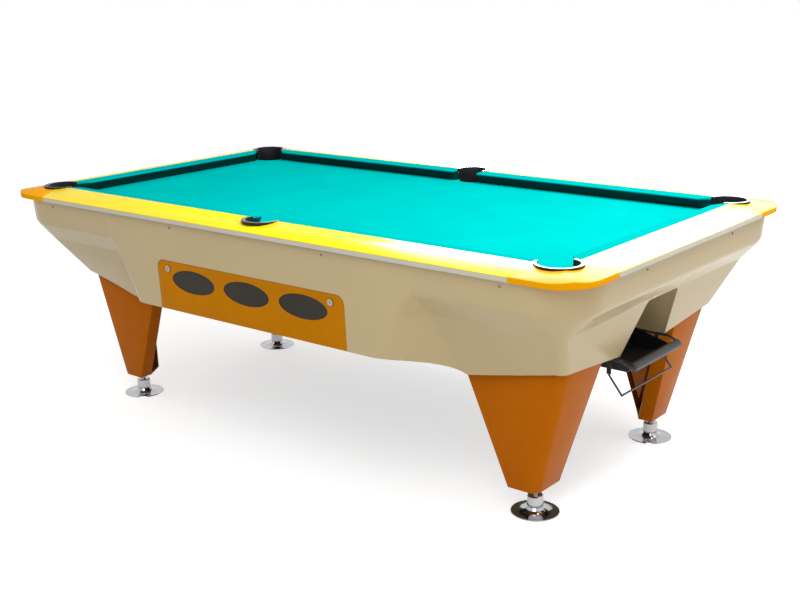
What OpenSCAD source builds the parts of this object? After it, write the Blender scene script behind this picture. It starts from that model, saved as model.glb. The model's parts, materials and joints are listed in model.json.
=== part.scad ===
/* [Playing field] */
// Length of the field, from cushion nose to cushion nose
play_l = 1980; // [1650:10:2540]
// Width of the field, from cushion nose to cushion nose
play_w = 990; // [900:10:1200]
// Height of the cloth above the floor
bed_z = 744; // [700:2:820]
// Height of the cushion nose above the cloth
nose_h = 36; // [34:0.5:38]

/* [Bed] */
// Thickness of the bed slab
slab_t = 18.5; // [15:0.5:30]
// Thickness of the cloth
cloth_t = 1.5; // [1:0.1:2]
// How far the slab reaches past the cushion noses
slab_out = 105; // [100:1:108]

/* [Rails] */
// Width of a rail, from the cushion nose to the outer edge
rail_w = 155; // [145:1:180]
// Width of a cushion, from its nose to the rail top
cushion_w = 45; // [40:1:50]
// Rise of the rail's inner edge above the nose
rail_rise = 3.3; // [2:0.1:5]
// Fall of the rail top from its inner to its outer edge
rail_fall = 16.8; // [10:0.2:20]
// Thickness of the rail top at its outer edge
rail_lip = 2; // [1.5:0.1:3]
// Depth of the edge strip, in from the outer edge
strip_d = 13.6; // [8:0.2:18]
// Height of the edge strip
strip_h = 13.2; // [10:0.2:16]
// Gap at the seams between rails and corner castings
seam = 0.5; // [0.2:0.1:1]

/* [Corners] */
// Distance of the side seam from the field's end
seam_in = 45.5; // [40:0.5:60]
// Distance of the end seam from the field's side
seam_in_end = 47; // [40:0.5:60]
// Outer radius of a corner casting
corner_round = 110; // [60:1:110]

/* [Pockets] */
// Radius of a corner pocket's hole
corner_r = 56; // [54:0.5:60]
// Distance of a corner pocket's centre past the noses, each way
corner_out = 18; // [16:0.5:22]
// Half angle of a corner pocket's mouth
corner_mouth = 54; // [50:1:58]
// Radius of a middle pocket's hole
middle_r = 50; // [49:0.5:54]
// Distance of a middle pocket's centre past the nose
middle_out = 53; // [50:0.5:58]
// Half angle of a middle pocket's mouth
middle_mouth = 75; // [65:1:80]
// Wall of a pocket liner
liner_t = 4; // [3:0.5:5]
// Width of the lip round a corner liner
lip_w = 9; // [7:0.5:15]
// Thickness of the lip
lip_h = 9.5; // [6:0.5:12]
// Half width of the middle pocket's gap between the noses
middle_gap = 51.5; // [50:0.5:56]
// Distance of a long cushion's tip from the field's corner
long_tip = 73; // [70:0.5:80]
// Distance of an end cushion's tip from the field's corner
end_tip = 82; // [76:0.5:86]
// Depth of the liners below the cloth
liner_drop = 30; // [24:1:34]

/* [Cabinet] */
// Thickness of the moulded shell
wall = 7; // [5:0.5:10]
// Inset of the shell's top edge from the rail's outer edge
top_inset = 14; // [12:0.5:18]
// Plan radius of the shell's top corners
top_round = 158; // [145:1:200]
// Height of the fascia, from the top edge down to the crease
fascia_h = 84; // [76:1:110]
// Inset of the crease
crease_inset = 24; // [18:1:50]
// Plan radius of the crease at the corners
crease_round = 140; // [125:1:180]
// Height of the sharp lower crease below the top edge
undercut_h = 155; // [145:1:180]
// Inset of the lower crease on the long sides
undercut_side = 95; // [85:1:130]
// Inset of the lower crease on the ends
undercut_end = 95; // [85:1:110]
// Plan radius of the sharp corners below the crease
sharp_round = 30; // [16:1:40]
// Half width of the side apron at its foot
apron_half = 478; // [440:2:520]
// Depth of the side apron below the top edge
apron_h = 289; // [270:1:310]
// Slope of the side apron, in per unit of depth
apron_slope = 0.055; // [0.03:0.005:0.08]

/* [Service panel] */
// Width of the service panel
panel_w = 780; // [700:2:820]
// Height of the service panel
panel_h = 162; // [140:1:180]
// Thickness of the service panel
panel_t = 6; // [4:0.5:8]
// Gap round the service panel
panel_gap = 1.5; // [1:0.1:3]
// Spacing of the windows
window_pitch = 231; // [210:1:250]
// Width of a window
window_w = 191; // [150:1:200]
// Height of a window
window_h = 74; // [60:1:80]

/* [Ball return] */
// Half width of the alcove at its foot
alcove_foot = 140; // [120:1:150]
// Half width of the alcove at its top
alcove_top = 99; // [80:1:110]
// Height of the alcove's top below the shell's top edge
alcove_drop = 154; // [152:1:170]
// Half width of the ball tray
tray_half = 118; // [105:1:124]
// Diameter of the padded roll
roll_d = 28; // [20:1:34]
// Diameter of the bail wire
bail_d = 6; // [5:0.5:8]

/* [Legs] */
// Distance of a leg's centre from the rail's outer edge at the ends
leg_end = 293.6; // [280:1:310]
// Distance of a leg's centre from the rail's outer edge at the sides
leg_side = 297.5; // [285:1:310]
// Height of a leg's foot above the floor
leg_z = 80; // [70:1:100]
// Height of a leg's top above the floor
leg_top = 475; // [468:1:480]
// Steel thickness of a leg
leg_t = 3; // [2:0.5:5]
// Width of the folded returns beside a leg's outer faces
leg_return = 48; // [40:1:56]
// Radius of a levelling foot
foot_r = 70.5; // [50:0.5:75]
// Thread diameter of a foot's stem
stem_d = 16; // [12:1:20]

/* [Hidden] */
$fn = 64;
e = 0.01;

half_l = play_l / 2 + rail_w;
half_w = play_w / 2 + rail_w;
nose_z = bed_z + nose_h;
slab_top = bed_z - cloth_t;
slab_foot = slab_top - slab_t;
slab_l = play_l / 2 + slab_out;
slab_w = play_w / 2 + slab_out;
rail_in_z = nose_z + rail_rise;
rail_out_z = rail_in_z - rail_fall;
strip_z = rail_out_z - rail_lip - strip_h - 0.1;
corner_x = play_l / 2 + corner_out;
corner_y = play_w / 2 + corner_out;
middle_y = play_w / 2 + middle_out;
// Depth of the lips' seat below the nose
lip_sink = 5;
lip_z = nose_z - lip_sink;
liner_z = bed_z - liner_drop;
// Fit of a liner in the holes it drops through
liner_fit = 1;

function lerp(a, b, t) = a + (b - a) * t;
function smooth(t) = t * t * (3 - 2 * t);

// Puts a shape made in the quarter of +X and +Y in any quarter
module quarter(x, y) {
  mirror([x < 0 ? 1 : 0, 0, 0]) mirror([0, y < 0 ? 1 : 0, 0]) children();
}
module four() {
  for (x = [-1, 1], y = [-1, 1]) quarter(x, y) children();
}
module two_ends() {
  for (x = [-1, 1]) mirror([x < 0 ? 1 : 0, 0, 0]) children();
}
module two_sides() {
  for (y = [-1, 1]) mirror([0, y < 0 ? 1 : 0, 0]) children();
}
// Box given by its two corners
module box(a, b) {
  translate(a) cube(b - a);
}
// Plan of the six pocket holes, each larger than its liner by c
module pocket_plan(c) {
  four() translate([corner_x, corner_y]) circle(corner_r + liner_t + c);
  two_sides() translate([0, middle_y]) circle(middle_r + liner_t + c);
}

// The slab ends at the corner pockets, which notch its cut-off corners
slab_cut = 20;
module bed_slab() {
  cut_x = corner_x + corner_y + slab_cut - slab_w;
  cut_y = corner_x + corner_y + slab_cut - slab_l;
  color("dimgray")
    translate([0, 0, slab_foot]) linear_extrude(slab_t) difference() {
      polygon([
        [cut_x, slab_w], [slab_l, cut_y], [slab_l, -cut_y], [cut_x, -slab_w],
        [-cut_x, -slab_w], [-slab_l, -cut_y], [-slab_l, cut_y], [-cut_x, slab_w]
      ]);
      pocket_plan(liner_fit);
      rail_bolt_places() circle(4.5);
    }
}
// The cloth runs on under the cushions, to their backs
module bed_cloth() {
  color("darkturquoise")
    translate([0, 0, slab_top]) linear_extrude(cloth_t) difference() {
      square([play_l + 2 * cushion_w - 2, play_w + 2 * cushion_w - 2], center = true);
      pocket_plan(liner_fit);
    }
}

// Cushion section: nose at 0, back at cushion_w, drawn in below the nose
module cushion_section() {
  polygon([
    [0, nose_z - 1.5], [1.5, nose_z], [cushion_w, rail_in_z],
    [cushion_w, bed_z + 0.3], [20, bed_z + 0.3], [13, bed_z + 12],
    [1.5, nose_z - 9], [0, nose_z - 7]
  ]);
}
// Clear room round the two kinds of liner, wider at the lips; the middle lip is the wider one
middle_lip = lip_w + 1;
lip_gap = 0.8;
module pocket_room() {
  for (p = [[corner_x, corner_y, corner_r, lip_w], [0, middle_y, middle_r, middle_lip]])
    translate([p.x, p.y, 0]) {
      translate([0, 0, liner_z]) cylinder(h = 200, r = p[2] + liner_t + lip_gap);
      translate([0, 0, lip_z - 0.5]) cylinder(h = 60, r = p[2] + p[3] + lip_gap);
    }
}
module cushion_side() {
  tip = play_l / 2 - long_tip;
  y0 = play_w / 2;
  run = 60;
  color("teal") difference() {
    intersection() {
      translate([0, y0, 0]) rotate([90, 0, 90]) linear_extrude(play_l) cushion_section();
      translate([0, 0, bed_z - 20]) linear_extrude(200) polygon([
        [middle_gap, y0 - e], [tip, y0 - e], [tip + run * 0.788, y0 + run * 0.616],
        [middle_gap - 5.5, y0 + run]
      ]);
    }
    pocket_room();
  }
}
module cushion_end() {
  tip = play_w / 2 - end_tip;
  x0 = play_l / 2;
  run = 60;
  color("teal") difference() {
    intersection() {
      translate([x0, play_w, 0]) rotate([90, 0, 0]) linear_extrude(2 * play_w) cushion_section();
      translate([0, 0, bed_z - 20]) linear_extrude(200) polygon([
        [x0 - e, -tip], [x0 - e, tip], [x0 + run * 0.616, tip + run * 0.788],
        [x0 + run * 0.616, -tip - run * 0.788]
      ]);
    }
    pocket_room();
    mirror([0, 1, 0]) pocket_room();
  }
}

// Rail section: measured out from the nose line
module rail_section(c) {
  polygon([
    [cushion_w + c, rail_in_z], [rail_w, rail_out_z], [rail_w, rail_out_z - rail_lip],
    [rail_w - strip_d - 0.4, rail_out_z - rail_lip],
    [rail_w - strip_d - 0.4, strip_z], [slab_out + 1, strip_z],
    [slab_out + 1, slab_top + 0.3], [cushion_w + c, slab_top + 0.3]
  ]);
}
// Plan line of the seams between a side rail and an end rail and the casting
function seam_side() = [
  [play_l / 2 - seam_in, half_w + 1], [play_l / 2 - seam_in, half_w],
  [play_l / 2 - 13, half_w - 61], [play_l / 2 - 8, half_w - 94], [play_l / 2 - 8, play_w / 2]
];
function seam_end() = [
  [play_l / 2, play_w / 2 - 13], [half_l - 95, play_w / 2 - 15],
  [half_l - 61, play_w / 2 - 25], [half_l, play_w / 2 - seam_in_end],
  [half_l + 1, play_w / 2 - seam_in_end]
];
// Holes for the liners through the rails and castings, with a seat for the lip
module liner_holes() {
  for (p = [[corner_x, corner_y, corner_r, lip_w], [0, middle_y, middle_r, middle_lip]])
    translate([p.x, p.y, 0]) {
      translate([0, 0, liner_z]) cylinder(h = 200, r = p[2] + liner_t + liner_fit);
      translate([0, 0, lip_z - 0.3]) cylinder(h = 60, r = p[2] + p[3] + 0.5);
    }
}
module rail_side() {
  line = seam_side();
  color("gold") difference() {
    intersection() {
      translate([-play_l, play_w / 2, 0]) rotate([90, 0, 90]) linear_extrude(2 * play_l)
        rail_section(0.3);
      translate([0, 0, bed_z - 60]) linear_extrude(200) polygon(concat(
        [for (p = line) [p.x - seam, p.y]],
        [for (i = [len(line) - 1:-1:0]) [seam - line[i].x, line[i].y]]
      ));
    }
    two_ends() liner_holes();
  }
}
module rail_end() {
  line = seam_end();
  color("gold") difference() {
    intersection() {
      translate([play_l / 2, play_w, 0]) rotate([90, 0, 0]) linear_extrude(2 * play_w)
        rail_section(0.3);
      translate([0, 0, bed_z - 60]) linear_extrude(200) polygon(concat(
        [for (p = line) [p.x, p.y - seam]],
        [for (i = [len(line) - 1:-1:0]) [line[i].x, seam - line[i].y]]
      ));
    }
    two_sides() liner_holes();
  }
}
// Edge strips under the rail tops, from casting to casting
module strip_box(l) {
  box([-l, rail_w - strip_d, strip_z + 0.1], [l, rail_w, rail_out_z - rail_lip]);
}
module strip_sides() {
  color("lightgray") two_sides() translate([0, play_w / 2, 0])
    strip_box(play_l / 2 - seam_in - seam);
}
module strip_ends() {
  color("lightgray") two_ends() translate([play_l / 2, 0, 0]) rotate(-90)
    strip_box(play_w / 2 - seam_in_end - seam);
}
// Corner casting: the two rail sections mitred, within a rounded plan
module corner_casting() {
  side = seam_side();
  back = seam_end();
  arc_x = half_l - corner_round;
  arc_y = half_w - corner_round;
  color("orange") difference() {
    intersection() {
      translate([0, 0, bed_z - 60]) linear_extrude(200) polygon(concat(
        [for (i = [1:3]) side[i]], [[play_l / 2 - 8, play_w / 2 + cushion_w],
        [play_l / 2 + cushion_w, play_w / 2 + cushion_w], [play_l / 2 + cushion_w, back[1].y]],
        [for (i = [1:3]) back[i]],
        [for (a = [0:7.5:90]) [arc_x + corner_round * cos(a), arc_y + corner_round * sin(a)]]
      ));
      translate([-play_l, play_w / 2, 0]) rotate([90, 0, 90]) linear_extrude(3 * play_l)
        casting_section();
      translate([play_l / 2, play_w * 2, 0]) rotate([90, 0, 0]) linear_extrude(4 * play_w)
        casting_section();
    }
    liner_holes();
    box([0, 0, bed_z - 70], [slab_l + 1, slab_w + 1, slab_top + 0.3]);
  }
}
// Roof line of a rail, carried on inward and down to the strip's foot
module casting_section() {
  slope = rail_fall / (rail_w - cushion_w);
  polygon([
    [-play_w, rail_in_z + slope * 30], [cushion_w - 30, rail_in_z + slope * 30],
    [rail_w, rail_out_z], [rail_w, strip_z], [-play_w, strip_z]
  ]);
}

// Liner: a tube with a lip, open towards the field above the cloth
module liner(r, lip, mouth, heading) {
  reach = 2 * (r + lip);
  color([0.08, 0.08, 0.08]) difference() {
    union() {
      translate([0, 0, liner_z]) cylinder(h = lip_z + lip_h - liner_z, r = r + liner_t);
      translate([0, 0, lip_z]) cylinder(h = lip_h, r = r + lip);
    }
    translate([0, 0, liner_z - 1]) cylinder(h = lip_z + lip_h - liner_z + 2, r = r);
    translate([0, 0, bed_z - cloth_t]) rotate(heading) linear_extrude(100) polygon([
      [0, 0], [reach * cos(mouth), reach * sin(mouth)], [reach, reach],
      [reach, -reach], [reach * cos(mouth), -reach * sin(mouth)]
    ]);
  }
}
module corner_liner() {
  translate([corner_x, corner_y, 0]) liner(corner_r, lip_w, corner_mouth, 225);
}
module middle_liner() {
  translate([0, middle_y, 0]) liner(middle_r, middle_lip, middle_mouth, 270);
}

beam_h = 60;
beam_w = 40;
beam_y = play_w / 2 - 95;
beam_x = play_l / 2 - 110;
frame_z = slab_foot - beam_h;
leg_x = half_l - leg_end;
leg_y = half_w - leg_side;
// Height and clear span of the flange that the shell hangs by
shell_z = strip_z - 0.3;
flange_t = 6;
bracket_x = [play_l * 0.15, play_l * 0.445];
bracket_y = play_w * 0.25;
bracket_in = 34;
bracket_w = 40;
bracket_t = 8;
// Gap between the pieces of a bolted joint
joint = 0.2;

// Bed frame: two long beams under the slab with five cross beams between them
module bed_frame() {
  color([0.2, 0.2, 0.22]) {
    two_sides() box([-beam_x, beam_y, frame_z], [beam_x, beam_y + beam_w, slab_foot]);
    for (x = [-beam_x, -play_l / 4, -beam_w / 2, play_l / 4 - beam_w, beam_x - beam_w])
      box([x, joint - beam_y, frame_z], [x + beam_w, beam_y - joint, slab_foot]);
  }
}
// Bent steel bracket: an arm of length l along Y and a post under the shell's flange
module bracket(l) {
  box([0, 0, slab_foot - bracket_t], [bracket_w, l, slab_foot]);
  box([0, l - bracket_t, slab_foot - bracket_t], [bracket_w, l, shell_z - flange_t - 0.3]);
}
module shell_brackets() {
  side = beam_y + beam_w + joint;
  end = beam_x + joint;
  color([0.2, 0.2, 0.22]) {
    four() for (x = bracket_x) translate([x, side, 0]) bracket(half_w - bracket_in + 4 - side);
    four() translate([end, bracket_y + bracket_w, 0]) rotate(-90)
      bracket(half_l - bracket_in + 4 - end);
  }
}
// Bolts up through the slab into the rails
rail_bolt_x = [play_l * 0.12, play_l * 0.27, play_l * 0.4];
rail_bolt_y = play_w * 0.2;
module rail_bolt() {
  translate([0, 0, slab_foot - 6.3]) cylinder(h = 6, r = 8, $fn = 6);
  translate([0, 0, slab_foot - 0.3 - e]) cylinder(h = slab_t + 0.3, r = 4);
}
module rail_bolt_places() {
  four() for (x = rail_bolt_x) translate([x, play_w / 2 + 62, 0]) children();
  two_ends() for (y = [-rail_bolt_y, rail_bolt_y]) translate([play_l / 2 + 62, y, 0]) children();
}
module rail_bolts() {
  color("silver") rail_bolt_places() rail_bolt();
}

plate_t = 8;
post = 46;
leg_cap = 6;
post_at = [[leg_x - 140, leg_y + 30], [leg_x + 38, leg_y + 30], [leg_x + 38, leg_y - 90]];
bolt_at = [[leg_x - 80, leg_y + 38], [leg_x + 20, leg_y - 30], [leg_x - 30, leg_y + 10]];
// Leg frame of one end: two plates on posts under the bed frame, and a tie between them
module leg_frame() {
  z0 = leg_top + 0.3;
  color([0.2, 0.2, 0.22]) union() {
    two_sides() {
      difference() {
        box([leg_x - 145, leg_y - 95, z0], [leg_x + 90, leg_y + 76, z0 + plate_t]);
        for (p = bolt_at) translate([p.x, p.y, z0 - 1]) cylinder(h = plate_t + 2, r = 6.5);
      }
      for (p = post_at)
        box([p.x, p.y, z0 + plate_t - 1], [p.x + post, p.y + post, frame_z - 0.3]);
    }
    box([leg_x - 140 + 8, -leg_y - 31, frame_z - 70], [leg_x - 140 + 38, leg_y + 31, frame_z - 40]);
  }
}

// Leg section at a height, as the offset of its edges from the foot's axis
function leg_in(z) = -lerp(57, 212, (z - leg_z) / (leg_top - leg_z));
function leg_out_x(z) = lerp(38, 139, (z - leg_z) / (leg_top - leg_z));
function leg_in_y(z) = -lerp(68, 134, (z - leg_z) / (leg_top - leg_z));
function leg_out_y(z) = lerp(56, 82, (z - leg_z) / (leg_top - leg_z));
function leg_ring(z, t) =
  let (xi = leg_in(z) + t, xo = leg_out_x(z) - t, yi = leg_in_y(z) + t, yo = leg_out_y(z) - t,
       r = 28 - t, w = leg_return - t * 0.4)
  concat(
    [[xi, yo, z]],
    [for (a = [90:-18:0]) [xo - r + r * cos(a), yo - r + r * sin(a), z]],
    [[xo, yi, z], [xo - w, yi, z], [xi, yo - w, z]]
  );
// Solid between two rings of points, each with the same number of points
module loft(a, b) {
  n = len(a);
  polyhedron(concat(a, b), concat(
    [[for (i = [0:n - 1]) i]], [[for (i = [n - 1:-1:0]) n + i]],
    [for (i = [0:n - 1]) [i, n + i, n + (i + 1) % n]],
    [for (i = [0:n - 1]) [i, n + (i + 1) % n, (i + 1) % n]]
  ));
}
// Leg: a folded, tapered steel tube with a cap for its frame and a foot plate for its stem
module leg() {
  color("darkorange") translate([leg_x, leg_y, 0]) difference() {
    loft(leg_ring(leg_top, 0), leg_ring(leg_z, 0));
    loft(leg_ring(leg_top - leg_cap, leg_t), leg_ring(leg_z + leg_cap, leg_t));
    translate([0, 0, leg_z - 1]) cylinder(h = leg_cap + 2, r = stem_d / 2 + 5.5);
    for (p = bolt_at)
      translate([p.x - leg_x, p.y - leg_y, leg_top - leg_cap - 1]) cylinder(h = leg_cap + 2, r = 6.5);
  }
}
module leg_bolts() {
  color("silver") four() for (p = bolt_at) translate([p.x, p.y, 0]) {
    translate([0, 0, leg_top - leg_cap - 7.3]) cylinder(h = 7, r = 9, $fn = 6);
    translate([0, 0, leg_top - leg_cap - 1]) cylinder(h = leg_cap + plate_t + 6, r = 5);
    translate([0, 0, leg_top + plate_t + 0.6]) cylinder(h = 8, r = 9, $fn = 6);
  }
}
// Threaded insert: a flanged bush in the foot plate
module leg_inserts() {
  color("silver") four() translate([leg_x, leg_y, 0]) difference() {
    union() {
      translate([0, 0, leg_z - 2.3]) cylinder(h = 2, r = stem_d / 2 + 8);
      translate([0, 0, leg_z - 2]) cylinder(h = 42, r = stem_d / 2 + 5.2);
    }
    translate([0, 0, leg_z - 5]) cylinder(h = 60, r = stem_d / 2 + 0.05);
  }
}

collar_z = 19;
collar_top = 53;
// Levelling foot: a flared disc with a spigot that turns free in the collar
module foot() {
  color("silver") translate([leg_x, leg_y, 0]) rotate_extrude() polygon(concat(
    [[0, 0], [foot_r - 2, 0], [foot_r, 2], [foot_r - 1, 4]],
    [for (t = [0.1:0.1:1]) [lerp(foot_r - 1, 22, t), 4 + 14.7 * (1 - sqrt(1 - pow(t, 4) * 0.96)) / 0.8]],
    [[22, collar_z - 0.3], [9.95, collar_z - 0.3], [9.95, collar_z + 14], [0, collar_z + 14]]
  ));
}
// Collar with the threaded stem in one piece; the spigot sits in its foot
module collar() {
  color("silver") translate([leg_x, leg_y, 0]) difference() {
    union() {
      translate([0, 0, collar_z]) cylinder(h = 4, r1 = 22, r2 = 23.5);
      translate([0, 0, collar_z + 4]) cylinder(h = collar_top - collar_z - 7, r = 23.5);
      translate([0, 0, collar_top - 3]) cylinder(h = 3, r1 = 23.5, r2 = 21);
      translate([0, 0, collar_top - 1]) cylinder(h = 81, r = stem_d / 2);
    }
    translate([0, 0, collar_z - 1]) cylinder(h = 16, r = 10);
  }
}

// Cabinet shell, worked out for the quarter of +X and +Y and mirrored round.
// Each level is a row of points from the middle of the side to the middle of the end.
crease_z = shell_z - fascia_h;
sharp_z = shell_z - undercut_h;
apron_z = shell_z - apron_h;
foot_side = 176;
foot_end = 155;
foot_tip = 148;
foot_corner = 197;
// Rise of the sharp lower crease towards the middle of an end
end_rise = 5;
foot_z = [shell_z - 336, shell_z - 313, shell_z - 289, shell_z - 317];
haunch_x = [play_l * 0.353, play_l * 0.43];

function apron_in(z) = 12 + (shell_z - z) * apron_slope;
// Start and end of the sweep from apron to haunch, for each level
apron_from = [apron_half + 128, apron_half + 128, apron_half + 79, apron_half + 39, apron_half];
apron_to = [apron_half + 150, apron_half + 150, apron_half + 165, apron_half + 194, haunch_x[0]];

// Side row of a level: apron, sweep, haunch
function side_row(k, inset, z) =
  let (az = k < 2 ? z : k == 4 ? apron_z : k == 3 ? (sharp_z + apron_z) / 2 : z,
       ai = k == 0 ? inset : apron_in(az))
  concat(
    [[0, half_w - ai, az]],
    [for (i = [0:6]) let (t = i / 6)
      [lerp(apron_from[k], apron_to[k], t), half_w - lerp(ai, inset, smooth(t)), lerp(az, z, t * t)]]
  );
// Round corner of a level, from the side to the end
function corner_row(ex, ey, r, z0, z1) = [for (a = [90:-11.25:0])
  [half_l - ex - r + r * cos(a), half_w - ey - r + r * sin(a), lerp(z0, z1, cos(a))]];
// Places across the end, from its corners to its middle, in parts of the field's width
end_y = [0.32, 0.195, 0.13, 0];
function top_row() = concat(
  side_row(0, top_inset, shell_z), [[haunch_x[1], half_w - top_inset, shell_z]],
  corner_row(top_inset, top_inset, top_round, shell_z, shell_z),
  [for (y = end_y) [half_l - top_inset, play_w * y, shell_z]]);
function crease_row() = concat(
  side_row(1, crease_inset, crease_z), [[haunch_x[1], half_w - crease_inset, crease_z]],
  corner_row(crease_inset, crease_inset, crease_round, crease_z, crease_z),
  [for (y = end_y) [half_l - crease_inset, play_w * y, crease_z]]);
function sharp_row() = concat(
  side_row(2, undercut_side, sharp_z), [[haunch_x[1], half_w - undercut_side, sharp_z]],
  corner_row(undercut_end, undercut_side, sharp_round, sharp_z, sharp_z),
  [for (q = [[0.32, 0.6], [0.195, 0.9], [0.13, 1], [0, 1]])
    [half_l - undercut_end, play_w * q[0], sharp_z + end_rise * q[1]]]);
function foot_row() = concat(
  side_row(4, foot_side, foot_z[0]), [[haunch_x[1], half_w - foot_corner, foot_z[1]]],
  corner_row(foot_tip, foot_corner, sharp_round, foot_z[2], foot_z[2]),
  [for (q = [[0.32, 0.35], [0.195, 0.8], [0.13, 1], [0, 1]])
    [half_l - lerp(foot_tip, foot_end, q[1]), play_w * q[0], lerp(foot_z[2], foot_z[3], q[1])]]);
// Inset of the end face at its middle, at a height below the sharp crease
function end_inset(z) =
  lerp(foot_end, undercut_end, (z - foot_z[3]) / (sharp_z + end_rise - foot_z[3]));
function middle_row() =
  let (a = sharp_row(), b = foot_row(),
       s = side_row(3, (undercut_side + foot_side) / 2, (sharp_z + foot_z[0]) / 2))
  [for (i = [0:len(a) - 1]) i < len(s) ? s[i] : (a[i] + b[i]) / 2];

// Row moved inward by d, square to its own plan line
function inward(row, d) = let (n = len(row)) [for (i = [0:n - 1])
  let (p = i == 0 ? [-row[1].x, row[1].y] : [row[i - 1].x, row[i - 1].y],
       q = i == n - 1 ? [row[n - 2].x, -row[n - 2].y] : [row[i + 1].x, row[i + 1].y],
       t = (q - p) / norm(q - p))
  [row[i].x + t.y * d, row[i].y - t.x * d, row[i].z]];
function at_z(row, z) = [for (p = row) [p.x, p.y, z]];
// A quarter row carried round the whole shell
function all_round(q) = let (n = len(q)) concat(
  q, [for (i = [n - 2:-1:0]) [q[i].x, -q[i].y, q[i].z]],
  [for (i = [1:n - 1]) [-q[i].x, -q[i].y, q[i].z]],
  [for (i = [n - 2:-1:1]) [-q[i].x, q[i].y, q[i].z]]);
// Closed skin through rings of points, the last ring joined to the first
module skin(rings) {
  m = len(rings);
  n = len(rings[0]);
  polyhedron(
    [for (r = rings) each r],
    [for (j = [0:m - 1], i = [0:n - 1]) let (k = (j + 1) % m, h = (i + 1) % n)
      each [[j * n + i, k * n + h, j * n + h], [j * n + i, k * n + i, k * n + h]]]
  );
}
module shell_body() {
  top = top_row();
  flange = shell_z - flange_t;
  outer = [top, crease_row(), sharp_row(), middle_row(), foot_row()];
  inner = [for (i = [4:-1:1]) inward(outer[i], wall)];
  skin([for (r = concat(outer, inner,
    [at_z(inward(top, wall), flange), at_z(inward(top, 31), flange), inward(top, 31)]))
    all_round(r)]);
}
// Alcove opening across the end, grown by c
module alcove_plan(c) {
  top = shell_z - alcove_drop + c;
  low = foot_z[0] - 60;
  slope = (alcove_foot - alcove_top) / (shell_z - alcove_drop - foot_z[3]);
  round = 22 + c;
  foot = alcove_foot + c + (foot_z[3] - low) * slope;
  polygon(concat(
    [[foot, low]],
    [for (a = [0:15:90])
      [alcove_top + c - round + round * cos(a) + (a == 0 ? 4 : 0), top - round + round * sin(a)]],
    [for (a = [90:15:180])
      [round - alcove_top - c + round * cos(a) - (a == 180 ? 4 : 0), top - round + round * sin(a)]],
    [[-foot, low]]
  ));
}
panel_top = apron_z + panel_h;
// Outline of the service panel, grown by c at its top and sides
module panel_plan(c) {
  r = 27 + c;
  w = panel_w / 2 + c;
  polygon(concat(
    [[-w, apron_z - (c > 0 ? 60 : 0)], [w, apron_z - (c > 0 ? 60 : 0)]],
    [for (a = [0:15:90]) [w - r + r * cos(a), panel_top + c - r + r * sin(a)]],
    [for (a = [90:15:180]) [r - w + r * cos(a), panel_top + c - r + r * sin(a)]]
  ));
}
module shell() {
  color([0.86, 0.79, 0.64]) difference() {
    shell_body();
    translate([half_l - 300, 0, 0]) rotate([90, 0, 90]) linear_extrude(400) alcove_plan(0);
    rotate([90, 0, 0]) linear_extrude(half_w + 50) difference() {
      panel_plan(panel_gap);
      translate([-half_l, apron_z - 300]) square([play_l, 1]);
    }
  }
}
// Screws through the fascia into the brackets, just under the edge strips
screw_drop = 17;
module screw() {
  translate([0, 0, 0.15]) cylinder(h = 2, r = 3.5);
}
module shell_screws() {
  lean = (crease_inset - top_inset) / fascia_h;
  apron_lean = (apron_in(crease_z) - top_inset) / fascia_h;
  color("black") four() {
    for (p = [[bracket_x[0] + 20, apron_lean], [bracket_x[1] + 30, lean]])
      translate([p.x, half_w - top_inset - screw_drop * p.y, shell_z - screw_drop])
        rotate([-90 - atan(p.y), 0, 0]) screw();
    translate([half_l - top_inset - screw_drop * lean, bracket_y + 20, shell_z - screw_drop])
      rotate([0, 90 + atan(lean), 0]) screw();
  }
}

// Places children on the apron's face: X along it, Z up it, Y inward from it
module on_apron() {
  translate([0, apron_in(apron_z) - half_w, apron_z]) rotate([atan(apron_slope), 0, 0]) children();
}
frame_y = wall + 0.5;
frame_t = 4;
frame_low = 20;
lock_x = 341;
lock_up = panel_h - 24;
lock_r = 8;
lock_rim = 2.5;
hinge_x = 250;
pin_y = frame_y + 4.5;
pin_up = 5.5;
pin_r = 2.5;
function oval(w, h) = [for (a = [0:7.5:352.5]) [w / 2 * cos(a), h / 2 * sin(a)]];
window_up = panel_h * 0.655;
module window_places() {
  for (i = [-1:1]) translate([i * window_pitch, 0, window_up]) children();
}
// Steel frame behind the panel, with arms to the bed frame and the fixed hinge leaves
module panel_frame() {
  w = panel_w / 2;
  color([0.2, 0.2, 0.22]) union() {
    on_apron() {
      difference() {
        box([-w - 22, frame_y, frame_low], [w + 22, frame_y + frame_t, panel_h + 22]);
        box([-w + 16, frame_y - 1, frame_low + 20], [w - 16, frame_y + 9, panel_h - 8]);
      }
      for (x = [-hinge_x, hinge_x], s = [-30, 10.5]) translate([x + s, 0, 0]) {
        box([0, frame_y + frame_t - 0.5, pin_up], [19.5, frame_y + frame_t + 2, frame_low + 15]);
        translate([0, pin_y, pin_up]) rotate([0, 90, 0]) cylinder(h = 19.5, r = 4.5);
      }
      for (x = [-hinge_x, hinge_x]) translate([x - 30, pin_y, pin_up]) rotate([0, 90, 0])
        cylinder(h = 60, r = pin_r);
    }
    for (x = [-w - 18, w + 2]) {
      box([x, 40 - half_w, apron_z + frame_low + 4], [x + 16, 46 - half_w, frame_z + 48]);
      box([x, 27 - half_w, panel_top + 2], [x + 16, 46 - half_w, panel_top + 14]);
      box([x, 40 - half_w, frame_z + 42], [x + 16, -beam_y - beam_w - 0.3, frame_z + 48]);
    }
  }
}
module service_panel() {
  color("darkorange") on_apron() difference() {
    translate([0, panel_t, -apron_z]) rotate([90, 0, 0]) linear_extrude(panel_t) panel_plan(0);
    window_places() translate([0, panel_t + 1, 0]) rotate([90, 0, 0])
      linear_extrude(panel_t + 2) polygon(oval(window_w, window_h));
    for (x = [-lock_x, lock_x]) translate([x, -1, lock_up]) rotate([-90, 0, 0])
      cylinder(h = panel_t + 2, r = lock_r + 0.05);
  }
}
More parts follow.
